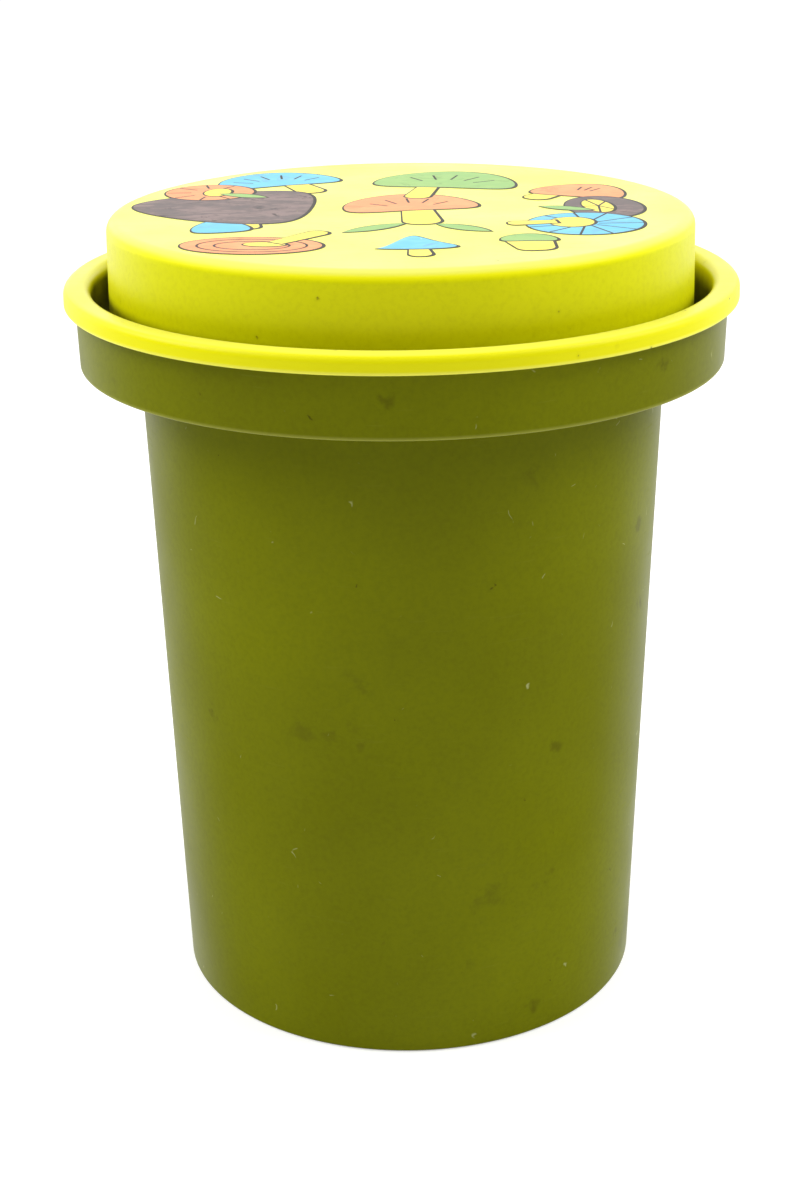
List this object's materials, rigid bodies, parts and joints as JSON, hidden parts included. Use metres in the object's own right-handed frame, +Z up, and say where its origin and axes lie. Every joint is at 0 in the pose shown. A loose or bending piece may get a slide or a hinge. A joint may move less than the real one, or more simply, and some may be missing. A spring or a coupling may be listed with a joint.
{
  "type": "storage canister",
  "caption": "Round tapered plastic storage canister with a wide stepped collar and a plug-in lid whose raised round crown carries a printed mushroom pattern.",
  "frame": {"origin": "centre of the base, on the plane of its foot ring", "axes": "+Z up along the canister's axis, +X to the right of the print's upright side, +Y to its far side"},
  "size_m": [0.1676, 0.1676, 0.2036],
  "materials": {
    "tub_plastic": "satin moulded polyethylene, olive green",
    "lid_plastic": "satin moulded polyethylene, bright yellow-green",
    "ink_outline": "printed ink, charcoal",
    "ink_brown": "printed ink, dark brown, scuffed",
    "ink_orange": "printed ink, orange",
    "ink_blue": "printed ink, light blue",
    "ink_green": "printed ink, leaf green",
    "ink_yellow": "printed ink, yellow"
  },
  "bodies": {
    "canister": {"canister_body": "tub_plastic"},
    "lid": {"lid": "lid_plastic", "ink_outline": "ink_outline", "ink_brown": "ink_brown", "ink_orange": "ink_orange", "ink_blue": "ink_blue", "ink_green": "ink_green", "ink_yellow": "ink_yellow"}
  },
  "joints": [
    {"name": "lid_lift", "type": "slide", "parent": "canister", "child": "lid", "axis": [0, 0, 1], "range_m": [0, 0.1]}
  ]
}
